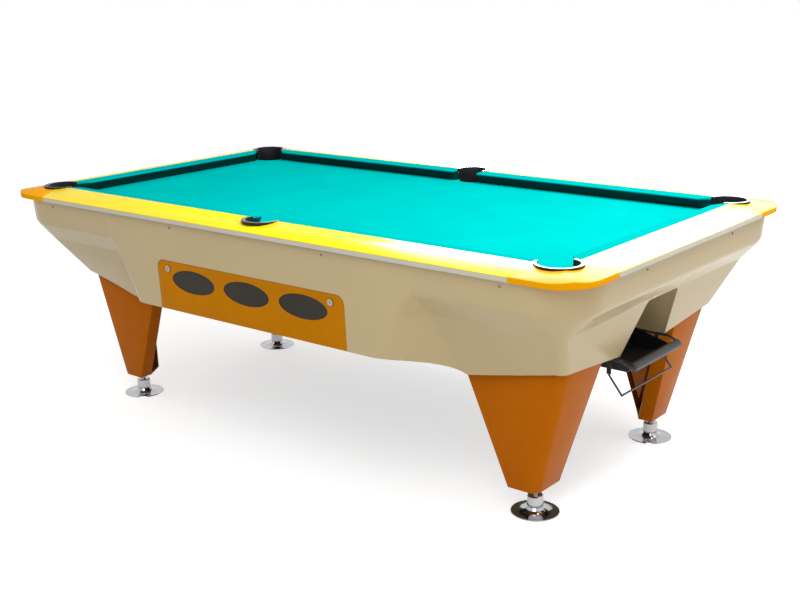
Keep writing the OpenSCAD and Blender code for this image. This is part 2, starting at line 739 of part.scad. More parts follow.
// Windows: smoked ovals set into the panel from behind
module panel_windows() {
  color([0.35, 0.31, 0.25, 0.6]) on_apron() window_places() union() {
    translate([0, panel_t + 0.2, 0]) rotate([90, 0, 0]) linear_extrude(panel_t - 1.2)
      polygon(oval(window_w - 0.6, window_h - 0.6));
    translate([0, panel_t + 1.3, 0]) rotate([90, 0, 0]) linear_extrude(1.2)
      polygon(oval(window_w + 10, window_h + 10));
  }
}
module panel_hinges() {
  color("silver") on_apron() for (x = [-hinge_x, hinge_x]) translate([x, 0, 0]) difference() {
    union() {
      box([-9.5, panel_t, 3], [9.5, panel_t + 1.3, 32]);
      box([-9.5, panel_t, 3.5], [9.5, pin_y, 7.5]);
      translate([-9.5, pin_y, pin_up]) rotate([0, 90, 0]) cylinder(h = 19, r = 4.5);
    }
    translate([-20, pin_y, pin_up]) rotate([0, 90, 0]) cylinder(h = 40, r = pin_r + 0.06);
  }
}
// Key lock: a barrel through the panel and a cam behind the frame
module key_lock(side) {
  color("silver") on_apron() translate([side * lock_x, 0, lock_up]) {
    difference() {
      union() {
        translate([0, -3, 0]) rotate([-90, 0, 0]) cylinder(h = 2.7, r = lock_r + lock_rim);
        translate([0, -1, 0]) rotate([-90, 0, 0]) cylinder(h = frame_y + frame_t + 3, r = lock_r);
      }
      box([-1, -4, -4], [1, -1, 4]);
    }
    box([side > 0 ? -26 : -7, frame_y + frame_t + 1.5, -7], [side > 0 ? 7 : 26, frame_y + frame_t + 4, 7]);
  }
}

// Ball return: side runways fall towards the near end and turn into the cross runway
drop_r = corner_r + 1;
run_out = corner_x - drop_r - 5.5;
cross_x = play_l / 2 - 165;
run_y = play_w / 2 - 33;
run_z = slab_foot - 112;
run_h = 48;
module trough() {
  polygon([
    [0, run_h], [3, run_h], [3, 3], [66, 3], [110, run_h], [114, run_h], [69, 0], [0, 0]
  ]);
}
module ball_runways() {
  far = run_out + cross_x + 35;
  near = run_out - cross_x + 35;
  color([0.25, 0.25, 0.27]) two_sides() difference() {
    union() {
      translate([cross_x + 35, run_y, run_z]) rotate([0, 1.1, 0]) translate([-far, 0, 0])
        rotate([90, 0, 90]) linear_extrude(far) trough();
      translate([cross_x - 35, run_y, run_z]) rotate([0, -3.4, 0])
        rotate([90, 0, 90]) linear_extrude(near) trough();
      for (x = concat(bracket_x, [-bracket_x[0] - bracket_w, -bracket_x[1] - bracket_w]))
        box([x, run_y - 3, run_z + 20], [x + bracket_w, run_y + 2, slab_foot - bracket_t - 0.3]);
    }
    box([cross_x - 33, run_y - 10, run_z + 3], [cross_x + 33, run_y + 10, run_z + 90]);
  }
}
// Cup under a corner pocket: its floor slopes to a doorway above the runway
drop_slope = 20;
module drop_space(r, z) {
  intersection() {
    translate([0, 0, z - 60]) cylinder(h = liner_z - 0.3 - z + 60, r = r);
    translate([0, 0, z]) rotate(45) rotate([0, -drop_slope, 0]) box([-200, -200, 0], [200, 200, 200]);
  }
}
module corner_drop() {
  z = liner_z - 46;
  translate([corner_x, corner_y, 0]) difference() {
    drop_space(drop_r + 4, z - 4);
    drop_space(drop_r, z);
    translate([0, 0, liner_z - 1]) cylinder(h = 5, r = drop_r);
    rotate(185) box([0, -33, z - 22], [drop_r + 20, 33, liner_z - 5]);
  }
}
module middle_drop() {
  translate([0, middle_y, liner_z - 32]) difference() {
    cylinder(h = 31.7, r = middle_r + 4);
    translate([0, 0, -1]) cylinder(h = 40, r = middle_r);
  }
}
module pocket_drops() {
  color([0.15, 0.15, 0.16]) {
    four() corner_drop();
    two_sides() middle_drop();
  }
}
// Cross runway: a trough whose two arms fall to an outlet at the middle
cross_fall = 32;
cross_half = run_y - 0.5;
module vee(x, a, b, past) {
  w = cross_half + past;
  z = run_z - 0.5 + past * cross_fall / cross_half;
  low = run_z - 0.5 - cross_fall;
  translate([cross_x - x, 0, 0]) rotate([90, 0, 90]) linear_extrude(2 * x)
    polygon([[-w, z + a], [0, low + a], [w, z + a], [w, z + b], [0, low + b], [-w, z + b]]);
}
module cross_runway() {
  color([0.25, 0.25, 0.27]) difference() {
    union() {
      vee(33, 0, run_h - 2, 0);
      for (y = [-300, 270])
        box([cross_x + 28, y, run_z + 10], [cross_x + 33, y + 30, frame_z - 0.3]);
    }
    vee(28, 3, run_h + 60, 5);
    box([cross_x + 20, -30, run_z - 25], [cross_x + 50, 30, run_z + 60]);
  }
}

// Alcove liner: the recess's walls and ceiling, with a ball hole in its back
alcove_x = play_l / 2 - 120;
liner_wall = 4;
shell_foot_z = foot_z[3];
alcove_z = shell_z - alcove_drop;
module alcove_liner() {
  lip_x = half_l - end_inset(shell_foot_z) - wall - 0.9;
  top_x = half_l - end_inset(alcove_z - 4) - wall - 0.9;
  color([0.8, 0.73, 0.58]) difference() {
    union() {
      intersection() {
        translate([alcove_x - liner_wall, 0, 0]) rotate([90, 0, 90]) linear_extrude(400)
          alcove_plan(liner_wall);
        translate([0, 300, 0]) rotate([90, 0, 0]) linear_extrude(600) polygon([
          [0, shell_foot_z + 0.3], [lip_x, shell_foot_z + 0.3], [top_x, alcove_z - 4],
          [top_x, alcove_z + 20], [0, alcove_z + 20]
        ]);
      }
      two_sides() box([alcove_x, alcove_foot + 1, shell_foot_z + 0.3],
        [lip_x - 12, alcove_foot + 24, shell_foot_z + 4.3]);
    }
    translate([alcove_x, 0, 0]) rotate([90, 0, 90]) linear_extrude(400) alcove_plan(0);
    box([alcove_x - 20, -38, shell_foot_z + 80], [alcove_x + 20, 38, alcove_z - 12]);
  }
}

// Ball tray: a scoop with its open top under the ball hole
roll_x = half_l - 112;
roll_z = shell_foot_z - 24;
tray_z = shell_foot_z - 50;
tray_x = half_l - 259;
function tray_line(c) = [
  [tray_x + c, shell_foot_z + 14 + (c > 0 ? 20 : 0)], [tray_x + c, tray_z + 12 + c * 0.4],
  [tray_x + 12 + c * 0.4, tray_z + c], [roll_x - 30 - c * 0.3, tray_z + c],
  [roll_x - 14.5 - c * 0.9, roll_z - 10], [roll_x - 14.5 - c, roll_z + 2 + (c > 0 ? 40 : 0)]
];
module ball_tray() {
  color([0.05, 0.05, 0.06]) difference() {
    translate([0, tray_half, 0]) rotate([90, 0, 0]) linear_extrude(2 * tray_half)
      polygon(tray_line(0));
    translate([0, tray_half - 4, 0]) rotate([90, 0, 0]) linear_extrude(2 * tray_half - 8)
      polygon(tray_line(4));
  }
}
rod_y = 150;
rod_r = 4;
bail_x = half_l - 184;
bail_z = tray_z + 2;
ear_t = 3;
bail_y = rod_y + 5;
// Straight rod between two points in a plane of constant y
module rod(a, b, r) {
  d = b - a;
  translate(a) rotate([0, acos(d.z / norm(d)), atan2(d.y, d.x)]) cylinder(h = norm(d), r = r);
}
// Carrier: a bent rod through the roll, two hangers and the bail's ears
module tray_carrier() {
  z = shell_foot_z - 9;
  bend = [roll_x - 34, rod_y, z];
  front = [roll_x, rod_y, roll_z];
  back = [tray_x, rod_y, z];
  color([0.12, 0.12, 0.13]) difference() {
    union() {
      two_sides() {
        rod(back, bend, rod_r);
        rod(bend, front, rod_r);
        translate(bend) sphere(rod_r + 0.5);
        translate(front) sphere(rod_r + 0.5);
        box([tray_x + 6, rod_y - 5, z - 4], [tray_x + 40, rod_y + 5, shell_foot_z]);
        box([bail_x - 7, rod_y - 2 - ear_t, bail_z - 7], [bail_x + 7, rod_y - 2, z]);
      }
      rod([roll_x, -rod_y, roll_z], [roll_x, rod_y, roll_z], rod_r);
      box([tray_x + 8, -rod_y, z - 3], [tray_x + 11, -tray_half - 0.3, z + 3]);
      box([tray_x + 8, tray_half + 0.3, z - 3], [tray_x + 11, rod_y, z + 3]);
    }
    translate([bail_x, -200, bail_z]) rotate([-90, 0, 0]) cylinder(h = 400, r = bail_d / 2 + 0.06);
  }
}
// Padded roll, slightly fuller at its middle, with rounded ends
module tray_roll() {
  h = rod_y - rod_r - 3;
  r = roll_d / 2;
  color([0.2, 0.2, 0.22]) translate([roll_x, 0, roll_z]) rotate([90, 0, 0]) rotate_extrude()
    polygon(concat(
      [[rod_r + 0.2, -h]], [for (a = [0:22.5:90]) [r - 6 + 5 * sin(a), 5 - h - 5 * cos(a)]],
      [for (t = [-0.9:0.15:0.9]) [r - t * t, t * h]],
      [for (a = [90:-22.5:0]) [r - 6 + 5 * sin(a), h - 5 + 5 * cos(a)]], [[rod_r + 0.2, h]]
    ));
}
// Wire bail hung on the ears, leaning outward
module tray_bail() {
  lean = 40;
  reach = 77;
  low = [bail_x + reach * sin(lean - 1.5), 0, bail_z - reach * cos(lean - 1.5)];
  r = bail_d / 2;
  color([0.15, 0.15, 0.16]) union() {
    rod([low.x, -bail_y, low.z], [low.x, bail_y, low.z], r);
    two_sides() {
      translate([low.x, bail_y, low.z]) sphere(r + 0.3);
      rod([bail_x, bail_y, bail_z], [low.x, bail_y, low.z], r);
      translate([bail_x, bail_y, bail_z]) sphere(r + 0.3);
      rod([bail_x, rod_y - 9, bail_z], [bail_x, bail_y, bail_z], r);
    }
  }
}

bed_slab();
bed_cloth();
quarter(-1, -1) cushion_side();  // cushion_front_far
quarter(1, -1) cushion_side();  // cushion_front_near
quarter(-1, 1) cushion_side();  // cushion_back_far
quarter(1, 1) cushion_side();  // cushion_back_near
quarter(-1, 1) cushion_end();  // cushion_end_far
quarter(1, 1) cushion_end();  // cushion_end_near
quarter(1, -1) rail_side();  // rail_front
quarter(1, 1) rail_side();  // rail_back
quarter(-1, 1) rail_end();  // rail_far
quarter(1, 1) rail_end();  // rail_near
strip_sides();
strip_ends();
quarter(-1, -1) corner_casting();  // corner_front_far
quarter(1, -1) corner_casting();  // corner_front_near
quarter(-1, 1) corner_casting();  // corner_back_far
quarter(1, 1) corner_casting();  // corner_back_near
quarter(-1, -1) corner_liner();  // pocket_front_far
quarter(1, -1) middle_liner();  // pocket_front_mid
quarter(1, -1) corner_liner();  // pocket_front_near
quarter(-1, 1) corner_liner();  // pocket_back_far
quarter(1, 1) middle_liner();  // pocket_back_mid
quarter(1, 1) corner_liner();  // pocket_back_near
bed_frame();
shell_brackets();
rail_bolts();
quarter(-1, 1) leg_frame();  // leg_frame_far
quarter(1, 1) leg_frame();  // leg_frame_near
quarter(-1, -1) leg();  // leg_front_far
quarter(1, -1) leg();  // leg_front_near
quarter(-1, 1) leg();  // leg_back_far
quarter(1, 1) leg();  // leg_back_near
leg_bolts();
leg_inserts();
quarter(-1, -1) foot();  // foot_front_far
quarter(1, -1) foot();  // foot_front_near
quarter(-1, 1) foot();  // foot_back_far
quarter(1, 1) foot();  // foot_back_near
quarter(-1, -1) collar();  // collar_front_far
quarter(1, -1) collar();  // collar_front_near
quarter(-1, 1) collar();  // collar_back_far
quarter(1, 1) collar();  // collar_back_near
shell();
shell_screws();
panel_frame();
service_panel();
panel_windows();
panel_hinges();
key_lock(-1);  // lock_left
key_lock(1);  // lock_right
ball_runways();
pocket_drops();
cross_runway();
alcove_liner();
ball_tray();
tray_carrier();
tray_roll();
tray_bail();
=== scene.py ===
import json
import math
import bmesh
import bpy
from mathutils import Matrix, Vector
from mathutils.geometry import delaunay_2d_cdt

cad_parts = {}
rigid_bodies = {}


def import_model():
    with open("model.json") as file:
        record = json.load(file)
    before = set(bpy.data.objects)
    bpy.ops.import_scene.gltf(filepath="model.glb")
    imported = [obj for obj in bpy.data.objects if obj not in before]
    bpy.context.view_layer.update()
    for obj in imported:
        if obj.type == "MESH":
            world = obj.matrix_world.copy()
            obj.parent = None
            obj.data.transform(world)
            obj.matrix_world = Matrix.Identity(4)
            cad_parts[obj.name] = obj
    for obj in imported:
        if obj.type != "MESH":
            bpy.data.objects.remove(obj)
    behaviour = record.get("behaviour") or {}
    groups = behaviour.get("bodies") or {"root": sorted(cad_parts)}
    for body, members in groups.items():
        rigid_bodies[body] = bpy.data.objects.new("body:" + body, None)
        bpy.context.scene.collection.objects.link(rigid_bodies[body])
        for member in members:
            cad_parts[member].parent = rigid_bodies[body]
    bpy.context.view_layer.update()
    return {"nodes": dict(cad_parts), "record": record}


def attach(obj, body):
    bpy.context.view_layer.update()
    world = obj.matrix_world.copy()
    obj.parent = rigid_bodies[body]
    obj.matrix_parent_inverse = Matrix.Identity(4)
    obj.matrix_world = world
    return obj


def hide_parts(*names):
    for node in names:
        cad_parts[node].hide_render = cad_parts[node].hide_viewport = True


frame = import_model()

MM = 0.001
NODES = frame["nodes"]

# Sizes of the table that the pieces made here share with the frame
HALF_L = 1145 * MM
HALF_W = 650 * MM
PLAY_X = 990 * MM
PLAY_Y = 495 * MM
BED_Z = 744 * MM
NOSE_Z = 780 * MM
RAIL_IN_Z = 783.3 * MM
LIP_Z = 775 * MM
CUSHION_W = 45 * MM
SHELL_Z = 750.9 * MM
CORNER = Vector((1008 * MM, 513 * MM))
MIDDLE_Y = 548 * MM
CORNER_R = 56 * MM
MIDDLE_R = 50 * MM
LINER_WALL = 4 * MM
CORNER_LIP = 9 * MM
MIDDLE_LIP = 10 * MM
LIP_GAP = 0.8 * MM


def lerp(a, b, t):
    return a + (b - a) * t


def smooth(t):
    return t * t * (3 - 2 * t)


# Camera, floor and light

# Place, angles and focal length of the photograph's camera
CAM_AT = (2.5139, -3.0331, 1.4994)
CAM_YAW = 0.6748
CAM_ELEVATION = 0.2703
CAM_ROLL = -0.0149
CAM_FOCAL = 1197.14
PHOTO_W = 800


def add_camera():
    back = Vector((
        math.sin(CAM_YAW) * math.cos(CAM_ELEVATION),
        -math.cos(CAM_YAW) * math.cos(CAM_ELEVATION),
        math.sin(CAM_ELEVATION),
    ))
    right = (-back).cross(Vector((0, 0, 1))).normalized()
    up = right.cross(-back)
    c, s = math.cos(CAM_ROLL), math.sin(CAM_ROLL)
    right, up = c * right + s * up, c * up - s * right
    cam = bpy.data.objects.new("camera", bpy.data.cameras.new("camera"))
    bpy.context.scene.collection.objects.link(cam)
    cam.matrix_world = Matrix.Translation(CAM_AT) @ Matrix((right, up, back)).transposed().to_4x4()
    cam.data.sensor_fit = "HORIZONTAL"
    cam.data.sensor_width = 36
    cam.data.lens = 36 * CAM_FOCAL / PHOTO_W
    cam.data.clip_end = 100
    bpy.context.scene.camera = cam


def add_area(name, at, aim, size, power, mirrored_only=False):
    light = bpy.data.lights.new(name, "AREA")
    light.shape = "RECTANGLE"
    light.size, light.size_y = size
    light.energy = power
    obj = bpy.data.objects.new(name, light)
    bpy.context.scene.collection.objects.link(obj)
    obj.location = at
    obj.rotation_euler = (Vector(aim) - Vector(at)).to_track_quat("-Z", "Y").to_euler()
    obj.visible_diffuse = not mirrored_only
    return obj


def seen_directly(tree):
    """1 for camera, mirror and glass rays, so those see the pale background."""
    path = tree.nodes.new("ShaderNodeLightPath")
    both = tree.nodes.new("ShaderNodeMath")
    both.operation = "MAXIMUM"
    tree.links.new(path.outputs["Is Camera Ray"], both.inputs[0])
    tree.links.new(path.outputs["Is Glossy Ray"], both.inputs[1])
    last = tree.nodes.new("ShaderNodeMath")
    last.operation = "MAXIMUM"
    tree.links.new(both.outputs[0], last.inputs[0])
    tree.links.new(path.outputs["Is Transmission Ray"], last.inputs[1])
    return last.outputs[0]


def add_world(level):
    world = bpy.data.worlds.new("studio")
    bpy.context.scene.world = world
    world.use_nodes = True
    tree = world.node_tree
    back = tree.nodes["Background"]
    back.inputs["Color"].default_value = (1, 1, 1, 1)
    mix = tree.nodes.new("ShaderNodeMix")
    mix.inputs["A"].default_value = level
    mix.inputs["B"].default_value = 1.0
    tree.links.new(seen_directly(tree), mix.inputs["Factor"])
    tree.links.new(mix.outputs["Result"], back.inputs["Strength"])


# How much the floor is lifted towards white for the camera, which leaves its shadows
FLOOR_GLOW = 0.58


def add_floor():
    mesh = bpy.data.meshes.new("floor")
    r = 30
    mesh.from_pydata([(-r, -r, 0), (r, -r, 0), (r, r, 0), (-r, r, 0)], [], [(0, 1, 2, 3)])
    floor = bpy.data.objects.new("floor", mesh)
    bpy.context.scene.collection.objects.link(floor)
    mat = bpy.data.materials.new("floor")
    mat.use_nodes = True
    tree = mat.node_tree
    plain = tree.nodes["Principled BSDF"]
    plain.inputs["Base Color"].default_value = (0.82, 0.82, 0.82, 1)
    plain.inputs["Roughness"].default_value = 1.0
    plain.inputs["Specular IOR Level"].default_value = 0.0
    plain.inputs["Emission Color"].default_value = (1, 1, 1, 1)
    glow = tree.nodes.new("ShaderNodeMath")
    glow.operation = "MULTIPLY"
    glow.inputs[1].default_value = FLOOR_GLOW
    tree.links.new(seen_directly(tree), glow.inputs[0])
    tree.links.new(glow.outputs[0], plain.inputs["Emission Strength"])
    mesh.materials.append(mat)


add_camera()
bpy.context.scene.view_settings.view_transform = "Standard"
add_world(0.55)
add_floor()
add_area("key", (1.8, -3.2, 3.8), (0.3, 0, 0.6), (3.0, 3.0), 75)
add_area("near_top", (1.3, 0.4, 2.6), (0.5, 0, 0.75), (1.8, 1.8), 63)
softbox = add_area("behind", (-1.2, 3.8, 3.4), (0.4, 0, 0.9), (3.4, 3.4), 1490, mirrored_only=True)
add_area("end_fill", (4.5, 0.5, 2.0), (1.1, 0, 0.5), (2.5, 2.5), 5)


# Materials: each is a Principled surface whose colour, gloss and bump come from noise; the cushion cloth's
# colour also has painted shade below its nose

def node(tree, kind, **values):
    n = tree.nodes.new(kind)
    for key, value in values.items():
        n.inputs[key.replace("_", " ")].default_value = value
    return n


def surface(name, colour, rough, metal=0.0, vary=0.06, vary_size=9.0, rough_vary=0.06,
            bump=0.0, bump_size=400.0, bump_depth=0.0002, specular=0.5):
    """Colour wanders by vary over blotches of 1 / vary_size metres; bump is a fine grain."""
    mat = bpy.data.materials.new(name)
    mat.use_nodes = True
    tree = mat.node_tree
    link = tree.links.new
    out = tree.nodes["Principled BSDF"]
    out.inputs["Metallic"].default_value = metal
    out.inputs["Specular IOR Level"].default_value = specular
    place = tree.nodes.new("ShaderNodeTexCoord")
    blotch = node(tree, "ShaderNodeTexNoise", Scale=vary_size, Detail=4.0, Roughness=0.6)
    link(place.outputs["Object"], blotch.inputs["Vector"])
    ramp = tree.nodes.new("ShaderNodeValToRGB")
    dark = [c * (1 - vary) for c in colour]
    light = [min(1, c * (1 + vary)) for c in colour]
    ramp.color_ramp.elements[0].color = (*dark, 1)
    ramp.color_ramp.elements[0].position = 0.3
    ramp.color_ramp.elements[1].color = (*light, 1)
    ramp.color_ramp.elements[1].position = 0.7
    link(blotch.outputs["Fac"], ramp.inputs["Fac"])
    link(ramp.outputs["Color"], out.inputs["Base Color"])
    fine = node(tree, "ShaderNodeTexNoise", Scale=vary_size * 7, Detail=3.0, Roughness=0.55)
    link(place.outputs["Object"], fine.inputs["Vector"])
    spread = node(tree, "ShaderNodeMapRange", To_Min=max(0.0, rough - rough_vary),
                  To_Max=min(1.0, rough + rough_vary))
    link(fine.outputs["Fac"], spread.inputs["Value"])
    link(spread.outputs["Result"], out.inputs["Roughness"])
    if bump:
        grain = node(tree, "ShaderNodeTexNoise", Scale=bump_size, Detail=2.0, Roughness=0.5)
        link(place.outputs["Object"], grain.inputs["Vector"])
        lift = node(tree, "ShaderNodeBump", Strength=bump, Distance=bump_depth)
        link(grain.outputs["Fac"], lift.inputs["Height"])
        link(lift.outputs["Normal"], out.inputs["Normal"])
    return mat


def woven(name, colour, thread):
    """Cloth of crossing threads, thread metres apart."""
    mat = surface(name, colour, 0.95, vary=0.05, vary_size=5.0, rough_vary=0.04, specular=0.0)
    tree = mat.node_tree
    link = tree.links.new
    out = tree.nodes["Principled BSDF"]
    place = tree.nodes.new("ShaderNodeTexCoord")
    waves = []
    for direction in ("X", "Y"):
        w = node(tree, "ShaderNodeTexWave", Scale=1 / thread / 20, Distortion=0.6, Detail=1.0)
        w.bands_direction = direction
        w.inputs["Detail Scale"].default_value = 2.0
        link(place.outputs["Object"], w.inputs["Vector"])
        waves.append(w)
    cross = tree.nodes.new("ShaderNodeMath")
    cross.operation = "MULTIPLY"
    link(waves[0].outputs["Fac"], cross.inputs[0])
    link(waves[1].outputs["Fac"], cross.inputs[1])
    lift = node(tree, "ShaderNodeBump", Strength=0.35, Distance=thread * 0.4)
    link(cross.outputs[0], lift.inputs["Height"])
    link(lift.outputs["Normal"], out.inputs["Normal"])
    return mat


def smoked_glass(name, colour):
    mat = surface(name, colour, 0.12, vary=0.12, vary_size=14.0, rough_vary=0.03, specular=0.1)
    mat.node_tree.nodes["Principled BSDF"].inputs["Alpha"].default_value = 0.95
    return mat


def painted_shade_below(mat, low, high, dark):
    """Painted shade: multiply a finish by dark under the height low, fading to its own colour at high."""
    tree = mat.node_tree
    out = tree.nodes["Principled BSDF"]
    own = out.inputs["Base Color"].links[0].from_socket
    place = tree.nodes.new("ShaderNodeTexCoord")
    split = tree.nodes.new("ShaderNodeSeparateXYZ")
    tree.links.new(place.outputs["Object"], split.inputs["Vector"])
    fade = node(tree, "ShaderNodeMapRange", From_Min=low, From_Max=high, To_Min=dark, To_Max=1.0)
    tree.links.new(split.outputs["Z"], fade.inputs["Value"])
    mix = tree.nodes.new("ShaderNodeMix")
    mix.data_type = "RGBA"
    mix.blend_type = "MULTIPLY"
    factor, a, b = mix.inputs[0], mix.inputs[6], mix.inputs[7]
    factor.default_value = 1.0
    tree.links.new(own, a)
    tree.links.new(fade.outputs["Result"], b)
    tree.links.new(mix.outputs[2], out.inputs["Base Color"])
    return mat


SHELL_BEIGE = surface("shell_beige", (0.535, 0.425, 0.238), 0.25, vary=0.025, vary_size=3.0,
                      bump=0.06, bump_size=60.0, bump_depth=0.0006, specular=0.12)
RAIL_YELLOW = surface("rail_yellow", (0.95, 0.71, 0.002), 0.24, vary=0.02, specular=0.035,
                      bump=0.05, bump_size=90.0, bump_depth=0.0004)
CASTING_ORANGE = surface("casting_orange", (0.85, 0.36, 0.002), 0.25, vary=0.03, specular=0.004)
LEG_ORANGE = surface("leg_orange", (0.485, 0.125, 0.001), 0.3, vary=0.04,
                     bump=0.12, bump_size=700.0, bump_depth=0.0001, specular=0.03)
PANEL_ORANGE = surface("panel_orange", (0.53, 0.19, 0.001), 0.3, vary=0.05,
                       bump=0.12, bump_size=700.0, bump_depth=0.0001, specular=0.02)
STRIP_GREY = surface("strip_grey", (0.56, 0.53, 0.46), 0.4, vary=0.03, specular=0.15)
CLOTH = woven("cloth_turquoise", (0.0, 0.46, 0.435), 0.0011)
# Painted shade: the cushion cloth is darkened below its nose, standing in for the shade under the overhang
CUSHION_CLOTH = painted_shade_below(woven("cushion_turquoise", (0.0, 0.41, 0.395), 0.0011),
                             NOSE_Z - 6 * MM, NOSE_Z - 1 * MM, 0.1)
LINER_BLACK = surface("liner_black", (0.012, 0.012, 0.014), 0.38, vary=0.2,
                      bump=0.2, bump_size=900.0, specular=0.2)
SLAB_GREY = surface("slab_grey", (0.05, 0.05, 0.055), 0.7, vary=0.15, bump=0.2, bump_size=500.0)
FRAME_BLACK = surface("frame_black", (0.02, 0.02, 0.023), 0.45, vary=0.15, bump=0.15, bump_size=800.0)
STEEL = surface("zinc_steel", (0.55, 0.55, 0.56), 0.35, metal=1.0, vary=0.1, vary_size=60.0)
SCREW_BEIGE = surface("screw_beige", (0.3, 0.25, 0.17), 0.4, vary=0.1, specular=0.15)
CHROME = surface("chrome", (0.45, 0.45, 0.465), 0.07, metal=1.0, vary=0.03, rough_vary=0.04, vary_size=30.0)
LOCK_CHROME = surface("lock_chrome", (0.3, 0.29, 0.27), 0.28, metal=1.0, vary=0.1, vary_size=40.0)
SMOKED = smoked_glass("smoked_window", (0.035, 0.028, 0.02))
RUNWAY_BLACK = surface("runway_black", (0.03, 0.03, 0.033), 0.6, vary=0.15)
TRAY_BLACK = surface("tray_black", (0.006, 0.006, 0.009), 0.5, vary=0.2, bump=0.3, bump_size=500.0)
WIRE_BLACK = surface("wire_black", (0.035, 0.035, 0.038), 0.35, vary=0.15)
PADDING = surface("padding_grey", (0.03, 0.031, 0.035), 0.5, vary=0.12, vary_size=25.0,
                  bump=0.4, bump_size=350.0, bump_depth=0.0006)
FINISHES = {
    "slab": SLAB_GREY, "cloth": CLOTH, "cushion": CUSHION_CLOTH, "rail": RAIL_YELLOW,
    "strip": STRIP_GREY, "casting": CASTING_ORANGE, "liner": LINER_BLACK,
    "frame_paint": FRAME_BLACK, "steel": STEEL, "screw": SCREW_BEIGE,
    "orange_paint": LEG_ORANGE, "panel_paint": PANEL_ORANGE,
    "shell": SHELL_BEIGE, "smoked": SMOKED, "chrome": CHROME, "runway": RUNWAY_BLACK,
    "tray": TRAY_BLACK, "wire": WIRE_BLACK, "padding": PADDING,
}
SLOTS = {s["node"]: s["material_slot"] for s in frame["record"]["subparts"]}
BODY_OF = {n: body for body, names in frame["record"]["behaviour"]["bodies"].items() for n in names}
for name, obj in NODES.items():
    obj.data.materials.clear()
    obj.data.materials.append(LOCK_CHROME if name.startswith("lock_") else FINISHES[SLOTS[name]])


# Meshes

def add_mesh(name, points, faces, nodes, angle):
    """A new piece in place of nodes, which gives it its body, slot and finish."""
    mesh = bpy.data.meshes.new(name)
    mesh.from_pydata([tuple(p) for p in points], [], faces)
    mesh.validate()
    bm = bmesh.new()
    bm.from_mesh(mesh)
    bmesh.ops.remove_doubles(bm, verts=bm.verts, dist=1e-6)
    bmesh.ops.recalc_face_normals(bm, faces=bm.faces)
    bm.to_mesh(mesh)
    bm.free()
    return place_mesh(name, mesh, nodes, angle)


def ring_faces(a, b, n):
    """Faces between two closed rings of n points, which start at the indices a and b."""
    return [(a + i, a + (i + 1) % n, b + (i + 1) % n, b + i) for i in range(n)]


def place_mesh(name, mesh, nodes, angle):
    obj = bpy.data.objects.new(name, mesh)
    bpy.context.scene.collection.objects.link(obj)
    mesh.materials.clear()
    mesh.materials.append(FINISHES[SLOTS[nodes[0]]])
    mesh.shade_smooth()
    mesh.set_sharp_from_angle(angle=math.radians(angle))
    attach(obj, BODY_OF[nodes[0]])
    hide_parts(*nodes)
    return obj


def soften(name, width, segments=3, angle=28):
    """The node's own mesh again, with its sharp edges rounded to width."""
    mesh = NODES[name].data.copy()
    bm = bmesh.new()
    bm.from_mesh(mesh)
    bmesh.ops.remove_doubles(bm, verts=bm.verts, dist=2e-5)
    bmesh.ops.dissolve_limit(bm, angle_limit=math.radians(1), verts=bm.verts, edges=bm.edges)
    sharp = [e for e in bm.edges if len(e.link_faces) == 2 and e.calc_face_angle(0) > math.radians(angle)]
    bmesh.ops.bevel(bm, geom=sharp, offset=width, segments=segments, profile=0.5, affect="EDGES",
                    clamp_overlap=True)
    bmesh.ops.remove_doubles(bm, verts=bm.verts, dist=1e-6)
    bm.to_mesh(mesh)
    bm.free()
    return place_mesh(name + ".soft", mesh, [name], 50)


# Cabinet shell: levels from the top edge down to the foot, each a row of points round a quarter

# Insets of the levels from the table's outline, and the corner radii of their rows
TOP_IN, CREASE_IN, SHARP_IN = 14 * MM, 24 * MM, 95 * MM
FOOT_SIDE_IN, FOOT_HAUNCH_IN, FOOT_END_IN, FOOT_ALCOVE_IN = 176 * MM, 197 * MM, 148 * MM, 155 * MM
TOP_ROUND, CREASE_ROUND, LOW_ROUND = 158 * MM, 140 * MM, 30 * MM
END_RISE = 5 * MM
WALL = 7 * MM
FLANGE_W, FLANGE_T = 31 * MM, 6 * MM
CREASE_Z = SHELL_Z - 84 * MM
SHARP_Z = SHELL_Z - 155 * MM
APRON_Z = SHELL_Z - 289 * MM
APRON_SLOPE = 0.055
APRON_HALF = 478 * MM
HAUNCH_X = (0.353 * 2 * PLAY_X, 0.43 * 2 * PLAY_X)
FOOT_Z = [SHELL_Z - d * MM for d in (336, 313, 289, 317)]
APRON_FROM = [APRON_HALF + d * MM for d in (128, 128, 79, 39, 0)]
APRON_TO = [APRON_HALF + d * MM for d in (150, 150, 165, 194)] + [HAUNCH_X[0]]


def apron_in(z):
    return 12 * MM + (SHELL_Z - z) * APRON_SLOPE


def side_row(k, inset, z, steps=20):
    az = (z, z, z, (SHARP_Z + APRON_Z) / 2, APRON_Z)[k]
    ai = inset if k == 0 else apron_in(az)
    row = [Vector((APRON_FROM[k] * i / 4, HALF_W - ai, az)) for i in range(4)]
    for i in range(steps + 1):
        t = i / steps
        row.append(Vector((lerp(APRON_FROM[k], APRON_TO[k], t), HALF_W - lerp(ai, inset, smooth(t)),
                           lerp(az, z, t * t))))
    return row


def corner_row(ex, ey, r, z0, z1, steps=24):
    row = []
    for i in range(steps + 1):
        a = math.radians(90 - 90 * i / steps)
        row.append(Vector((HALF_L - ex - r + r * math.cos(a), HALF_W - ey - r + r * math.sin(a),
                           lerp(z0, z1, math.cos(a)))))
    return row


def curve_through(points, before, after, steps=5):
    """Even points on a smooth curve through points, which starts and ends in line with its neighbours."""
    p = [before] + points + [after]
    out = []
    for i in range(1, len(p) - 2):
        for j in range(steps):
            t = j / steps
            a, b = (p[i + 1] - p[i - 1]) / 2, (p[i + 2] - p[i]) / 2
            out.append((2 * t**3 - 3 * t**2 + 1) * p[i] + (t**3 - 2 * t**2 + t) * a
                       + (3 * t**2 - 2 * t**3) * p[i + 1] + (t**3 - t**2) * b)
    return out + [points[-1]]


